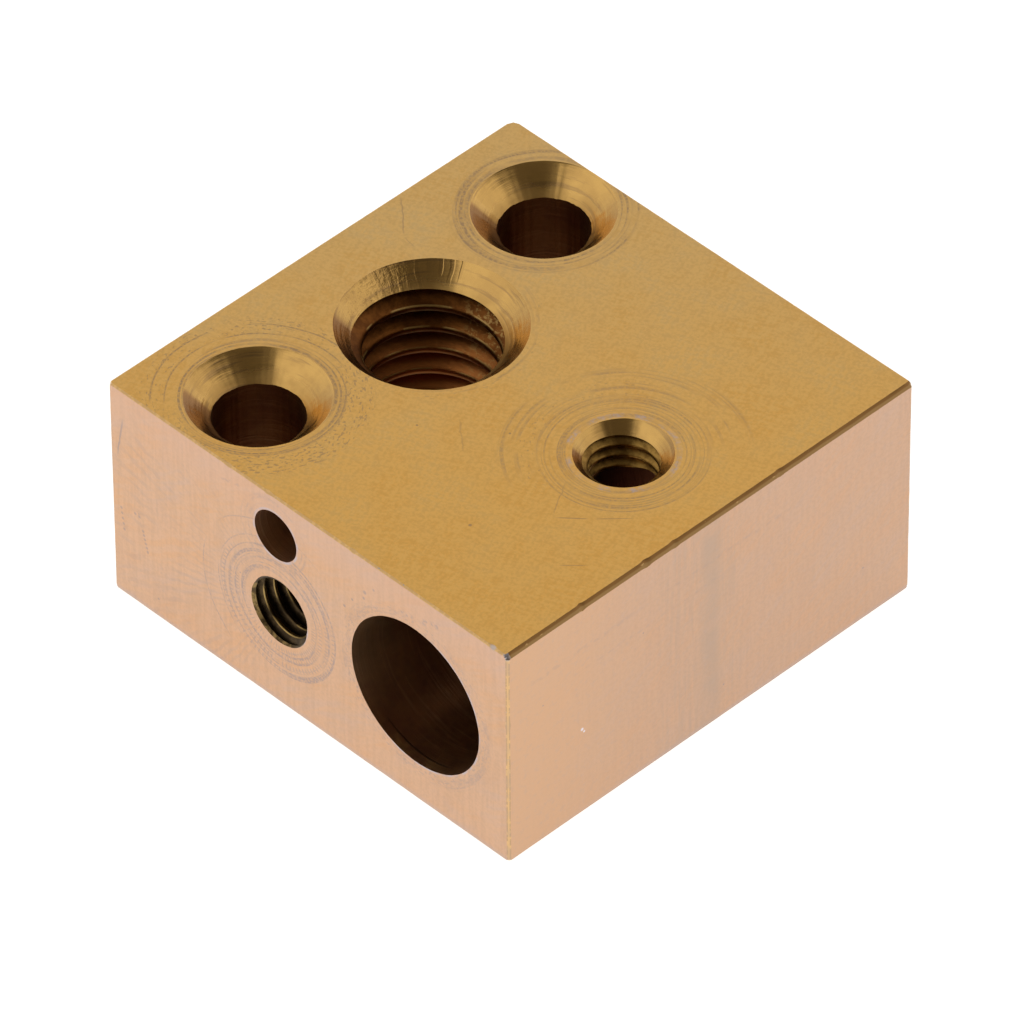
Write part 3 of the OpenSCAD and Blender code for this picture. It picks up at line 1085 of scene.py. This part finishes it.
class Shell:
    """The blank's mesh while it is being made."""

    def __init__(self):
        self.verts = []
        self.index = {}
        self.faces = []
        self.regions = []
        self.strips = {}  # each edge's rows of vertices across its break, from its low end to its high one

    def add(self, face, region):
        self.faces.append(face)
        self.regions.append(region)

    def vert(self, key, point):
        """Index of the vertex with a key. A new one is put at a point, seen from the block's middle."""
        if key not in self.index:
            self.index[key] = len(self.verts)
            self.verts.append(tuple(Vector((0, 0, HALF.z)) + point))
        return self.index[key]

    def break_edge(self, along, signs):
        """Makes the strip that breaks an edge."""
        one, two = other_axes(along)
        rounded = edge_roundness(along, signs)
        flat = 1 - rounded
        first, last = (end * (HALF[along] - corner_inset(along, signs, end)) for end in SIDES)
        count = round((last - first) / EDGE_STEP)
        rows = []
        for step in range(count + 1):
            place = first + (last - first) * step / count
            reach_one = edge_reach(one, along, signs, place)
            reach_two = edge_reach(two, along, signs, place)
            row = []
            for k in range(EDGE_FACETS + 1):
                t = k / EDGE_FACETS
                bend = math.pi / 2 * t
                # the break reaches over the face across axis one along axis two, and the other way round
                in_two = reach_one * ((1 - t) * flat + (1 - math.sin(bend)) * rounded)
                in_one = reach_two * (t * flat + (1 - math.cos(bend)) * rounded)
                point = Vector((0, 0, 0))
                point[along] = place
                point[one] = signs[one] * (HALF[one] - in_one)
                point[two] = signs[two] * (HALF[two] - in_two)
                row.append(self.vert((along, signs, step, k), point))
            rows.append(row)
        region = "chamfer" if edge_size(along, signs) == SIDE_CHAMFER else "edge"
        for a, b in zip(rows, rows[1:]):
            for k in range(EDGE_FACETS):
                self.add((a[k], a[k + 1], b[k + 1], b[k]), region)
        self.strips[along, signs] = rows

    def face_corner(self, face, corner):
        """The point of a face's outline at a corner of the block, on a round between two strips' ends."""
        point = Vector(corner)
        point[face] *= HALF[face]
        for axis in other_axes(face):
            other = 3 - face - axis
            inset = (1 - ARC_MIDDLE) * corner_inset(axis, without(corner, axis), corner[axis])
            inset += ARC_MIDDLE * edge_size(other, without(corner, other))
            point[axis] *= HALF[axis] - inset
        return self.vert((face, corner), point)

    def close_face(self, face, side):
        """Fills one of the six faces. Its outline runs along four strips, and against two of them."""
        p, q = other_axes(face)
        outline = []
        for along, across, beside, ahead in ((p, q, -1, 1), (q, p, 1, 1), (p, q, 1, -1), (q, p, -1, -1)):
            rows = self.strips[along, signs_of({face: side, across: beside})]
            end = 0 if face == other_axes(along)[0] else -1
            outline += [row[end] for row in rows][::ahead]
            corner = signs_of({face: side, across: beside, along: ahead})
            outline.append(self.face_corner(face, corner))
        self.add(outline, FACE_REGIONS[face][side > 0])

    def close_corner(self, signs):
        """Fills one of the eight corners, between the ends of three strips."""
        loop = []
        for along, start_face in ((2, 0), (0, 1), (1, 2)):
            rows = self.strips[along, without(signs, along)]
            row = rows[-1] if signs[along] > 0 else rows[0]
            loop += row if start_face == other_axes(along)[0] else row[::-1]
            loop.append(self.face_corner((start_face + 1) % 3, signs))
        middle = sum((Vector(self.verts[i]) for i in loop), Vector()) / len(loop)
        self.verts.append(tuple(middle + Vector(signs).normalized() * EDGE_BREAK * CORNER_BULGE))
        hub = len(self.verts) - 1
        region = "chamfer" if signs == (1, 1, 1) else "edge"
        for here, after in zip(loop, loop[1:] + loop[:1]):
            self.add((hub, here, after), region)


def blank():
    """The block with its 12 edges broken by hand: each break wanders a little and carries the nicks."""
    shell = Shell()
    for along in range(3):
        one, two = other_axes(along)
        for side_one, side_two in product(SIDES, repeat=2):
            shell.break_edge(along, signs_of({one: side_one, two: side_two}))
    for face, side in product(range(3), SIDES):
        shell.close_face(face, side)
    for signs in product(SIDES, repeat=3):
        shell.close_corner(signs)
    return mesh_object("heater_block_machined", shell.verts, shell.faces, shell.regions)


# ---------------------------------------------------------------- the machined block

def crest_at_zero(pitch, depth, angle=math.radians(135)):
    """Height of a crest's lower edge at angle 0, for one that is this deep at the given angle."""
    return -depth - pitch * angle / (2 * math.pi)


def mouth_cone(name, radius, sink, wave, segments, seed):
    """Cutter for a 45 degree mouth, with its radius at Z 0 and its low end sink below."""
    profile = [(radius - sink, -sink, 0.01, "sink"), (radius + OVERRUN, OVERRUN, wave, "sink")]
    return lathe(name, profile, segments, seed)


def drill(name, radius, depth, wave, segments, seed, play=0.0):
    """Cutter for a blind hole, depth deep at its drill point's rim. play is taken off its wall."""
    return lathe(name, [
        (0.02, -depth - radius * DRILL_POINT_SLOPE, 0, "bore"),
        (radius - play, -depth, 0, "bore"),
        (radius - play, OVERRUN, wave, "bore"),
    ], segments, seed)


def m3_rod(name, depth, crest_at, seed):
    """Cutter for an M3 x 0.5 thread."""
    radii = (M3_MINOR_R, M3_MAJOR_R)
    return threaded_rod(name, radii, M3_PITCH, -depth, OVERRUN, crest_at, segments=96, wave=0.008, seed=seed)


def cut_screw_holes(body):
    sink = SCREW_SINK_R - SCREW_R
    for seed, place in enumerate(SCREW_PLACES):
        cutter = lathe("screw_hole", [
            (SCREW_EXIT_R + OVERRUN, -SIZE.z - OVERRUN, 0, "sink"),
            (SCREW_R, -SIZE.z + SCREW_EXIT_R - SCREW_R, 0.01, "bore"),
            (SCREW_R, -sink, 0.036, "sink"),
            (SCREW_SINK_R - RIM_WEAR, -RIM_WEAR, 0.008, "sink"),
            (SCREW_SINK_R + RIM_WEAR, 0.012, 0.010, "sink"),
            (SCREW_SINK_R + 4 * RIM_WEAR, OVERRUN, 0.0, "sink"),
        ], seed=seed)
        carve(body, cutter, place)


def cut_nozzle_hole(body):
    """The through thread, with a mouth at each end."""
    crest_at = crest_at_zero(NOZZLE_PITCH, NOZZLE_CREST_DEPTH)
    radii = (NOZZLE_MINOR_R, NOZZLE_MAJOR_R)
    rod = threaded_rod("nozzle_thread", radii, NOZZLE_PITCH, -SIZE.z - OVERRUN, OVERRUN, crest_at)
    carve(body, rod, Vector((NOZZLE.x, NOZZLE.y, TOP)))
    sink = NOZZLE_MOUTH_R - NOZZLE_MINOR_R + MOUTH_OVERLAP
    for height, turn in ((TOP, 0), (0, math.pi)):
        cone = mouth_cone("nozzle_mouth", NOZZLE_MOUTH_R, sink, 0.015, 192, 5)
        cone.data.transform(Matrix.Rotation(turn, 4, "X"))
        carve(body, cone, Vector((NOZZLE.x, NOZZLE.y, height)))


def cut_heater_holes(body):
    """The heater's bore, and the grub's thread that opens into it."""
    widens, wide = HEATER_LEAD_IN
    bore = lathe("heater_bore", [
        (HEATER_R, -SIZE.y - OVERRUN, 0, "bore"),
        (HEATER_R, -widens, 0.004, "bore"),
        (HEATER_R, -wide, 0.004, "bore"),
        (HEATER_R + 0.02, 0.0, 0.008, "bore"),
        (HEATER_R + 0.06, OVERRUN, 0.010, "bore"),
    ], seed=7)
    carve(body, bore, Vector((HEATER.x, FRONT, HEATER.z)), into_front=True)
    place = Vector((GRUB.x, GRUB.y, TOP))
    crest_at = crest_at_zero(M3_PITCH, GRUB_CREST_DEPTH)
    carve(body, m3_rod("grub_thread", TOP - HEATER.z, crest_at, 9), place)
    sink = GRUB_MOUTH_R - M3_MINOR_R + MOUTH_OVERLAP
    carve(body, mouth_cone("grub_mouth", GRUB_MOUTH_R, sink, 0.008, 144, 11), place)


def cut_sensor_holes(body):
    """The sensor's blind hole, and the clamp's blind thread below it."""
    place = Vector((SENSOR.x, FRONT, SENSOR.z))
    cutter = drill("sensor_bore", SENSOR_R, SENSOR_DEPTH, 0.006, 128, 13)
    carve(body, cutter, place, into_front=True)
    place = Vector((CLAMP.x, FRONT, CLAMP.z))
    cutter = drill("clamp_drill", M3_MINOR_R, CLAMP_DEPTH, 0, 96, 15, play=0.01)
    carve(body, cutter, place, into_front=True)
    cutter = m3_rod("clamp_thread", CLAMP_THREAD_DEPTH, CLAMP_CREST_AT, 17)
    carve(body, cutter, place, into_front=True)
    cutter = mouth_cone("clamp_mouth", CLAMP_MOUTH_R, CLAMP_MOUTH_R - M3_MINOR_R, 0.01, 128, 19)
    carve(body, cutter, place + CLAMP_MOUTH_SHIFT, into_front=True)


def machined_block():
    body = blank()
    cut_screw_holes(body)
    cut_nozzle_hole(body)
    cut_heater_holes(body)
    cut_sensor_holes(body)
    return body


block = machined_block()
block.data.transform(Matrix.Scale(M_PER_MM, 4))
block.data.set_sharp_from_angle(angle=SHARP_ANGLE)
for polygon in block.data.polygons:
    polygon.use_smooth = REGIONS[polygon.material_index] not in FLAT_REGIONS

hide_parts(NODE)
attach(block, "root")


# ---------------------------------------------------------------- studio

VIEW_AZIMUTH = math.radians(45.697)
VIEW_ELEVATION = math.radians(42.539)
VIEW_ROLL = math.radians(-0.415)
CAMERA_DISTANCE = 458.6
CAMERA_LENS = 455.96
CAMERA_SENSOR = 36
CLIP_NEAR, CLIP_FAR = 0.05, 5  # metres
AIM_HEIGHT = 4.944  # of the point from which the aim is moved a little down and to the right
AIM_DOWN = 0.985
AIM_RIGHT = 0.028


def toward_sky(azimuth, elevation):
    """A direction. Azimuth 0 is in front of the object, and grows towards its right."""
    level = math.cos(elevation)
    return Vector((math.sin(azimuth) * level, -math.cos(azimuth) * level, math.sin(elevation)))


def camera():
    """A long lens from the front right, high up."""
    back = toward_sky(VIEW_AZIMUTH, VIEW_ELEVATION)
    right = direction(VIEW_AZIMUTH)
    up = back.cross(right)
    c, s = math.cos(VIEW_ROLL), math.sin(VIEW_ROLL)
    right, up = right * c + up * s, up * c - right * s
    aim = Vector((0, 0, AIM_HEIGHT)) - up * AIM_DOWN + right * AIM_RIGHT
    data = bpy.data.cameras.new("camera")
    data.lens = CAMERA_LENS
    data.sensor_width = CAMERA_SENSOR
    data.clip_start = CLIP_NEAR
    data.clip_end = CLIP_FAR
    cam = bpy.data.objects.new("camera", data)
    turn = Matrix((right, up, back)).transposed().to_4x4()
    cam.matrix_world = Matrix.Translation((aim + back * CAMERA_DISTANCE) * M_PER_MM) @ turn
    bpy.context.scene.collection.objects.link(cam)
    bpy.context.scene.camera = cam


FLOOR_GAP = 0.02  # how far the floor lies under the block, so that the two never share a plane
FLOOR_REACH = 1000  # half of the floor's width
FLOOR_GLOW = 0.94
UNDER_GLOW = 0.27
UNDER_INSET = 0.5  # how far the dimmer paper ends inside the block's outline


def floor_paper(name, glow):
    """Plain white paper, lit from below."""
    paper = bpy.data.materials.new(name)
    paper.use_nodes = True
    shader = paper.node_tree.nodes["Principled BSDF"]
    shader.inputs["Base Color"].default_value = (0.4, 0.4, 0.4, 1)
    shader.inputs["Roughness"].default_value = 0.9
    shader.inputs["Emission Color"].default_value = (1, 1, 1, 1)
    shader.inputs["Emission Strength"].default_value = glow
    return paper


def floor():
    """A plain white table top. The part under the block is dimmer, so little light comes up the holes."""
    corners = ((-1, -1), (1, -1), (1, 1), (-1, 1))
    reaches = (HALF.x - UNDER_INSET, FLOOR_REACH)
    verts = [Vector((reach * x, reach * y, -FLOOR_GAP)) * M_PER_MM for reach in reaches for x, y in corners]
    faces = [(0, 1, 2, 3)] + [(k, 4 + k, 4 + (k + 1) % 4, (k + 1) % 4) for k in range(4)]
    mesh = bpy.data.meshes.new("floor")
    mesh.from_pydata(verts, [], faces)
    mesh.materials.append(floor_paper("floor_under_block", UNDER_GLOW))
    mesh.materials.append(floor_paper("floor", FLOOR_GLOW))
    mesh.polygons.foreach_set("material_index", [0, 1, 1, 1, 1])
    obj = bpy.data.objects.new("floor", mesh)
    bpy.context.scene.collection.objects.link(obj)


ROOM = (0.10, 0.085, 0.065)
# Softboxes: azimuth of the middle, half width, lowest and highest elevation and softness of the edges in
# degrees, and colour
SOFTBOXES = [
    (-37, 51, 20, 62, 7, (0.80, 0.78, 0.75)),
    (222, 52, 20, 62, 10, (0.80, 0.79, 0.77)),
    (137, 38, 20, 42, 13, (0.80, 0.765, 0.73)),
    (38, 48, -4, 16, 8, (0.42, 0.41, 0.40)),
    (218, 132, -4, 20, 5, (0.58, 0.57, 0.60)),
    (0, 181, 62, 95, 8, (0.04, 0.04, 0.04)),
    (0, 181, -95, -4, 3, (0.75, 0.75, 0.75)),
]


def studio_light():
    """Soft light from a dim room: broad boxes on the left, behind and on the right, and low ones all round.

    The front right and overhead are left dark, and below the floor's level it is light.
    """
    world = bpy.data.worlds.new("studio")
    world.use_nodes = True
    net = Tree(world.node_tree)
    way = net.tree.nodes.new("ShaderNodeTexCoord").outputs["Generated"]
    elevation = net.math("ARCSINE", net.split(way)["Z"])
    total = net.join(*ROOM)
    for middle, *angles, colour in SOFTBOXES:
        half, low, high, soft = (math.radians(angle) for angle in angles)
        ahead = toward_sky(math.radians(middle), 0)
        side = (-ahead.y, ahead.x, 0)
        turn = net.math("ABSOLUTE", net.math("ARCTAN2", net.dot(way, side), net.dot(way, ahead)))
        share = net.times(net.ramp(turn, half + soft, half - soft), net.window(elevation, low, high, soft))
        total = net.vector("ADD", total, net.vector("SCALE", colour, scale=share))
    net.feed(net.tree.nodes["Background"].inputs["Color"], total)
    bpy.context.scene.world = world


camera()
floor()
studio_light()
bpy.context.scene.view_settings.view_transform = "Standard"
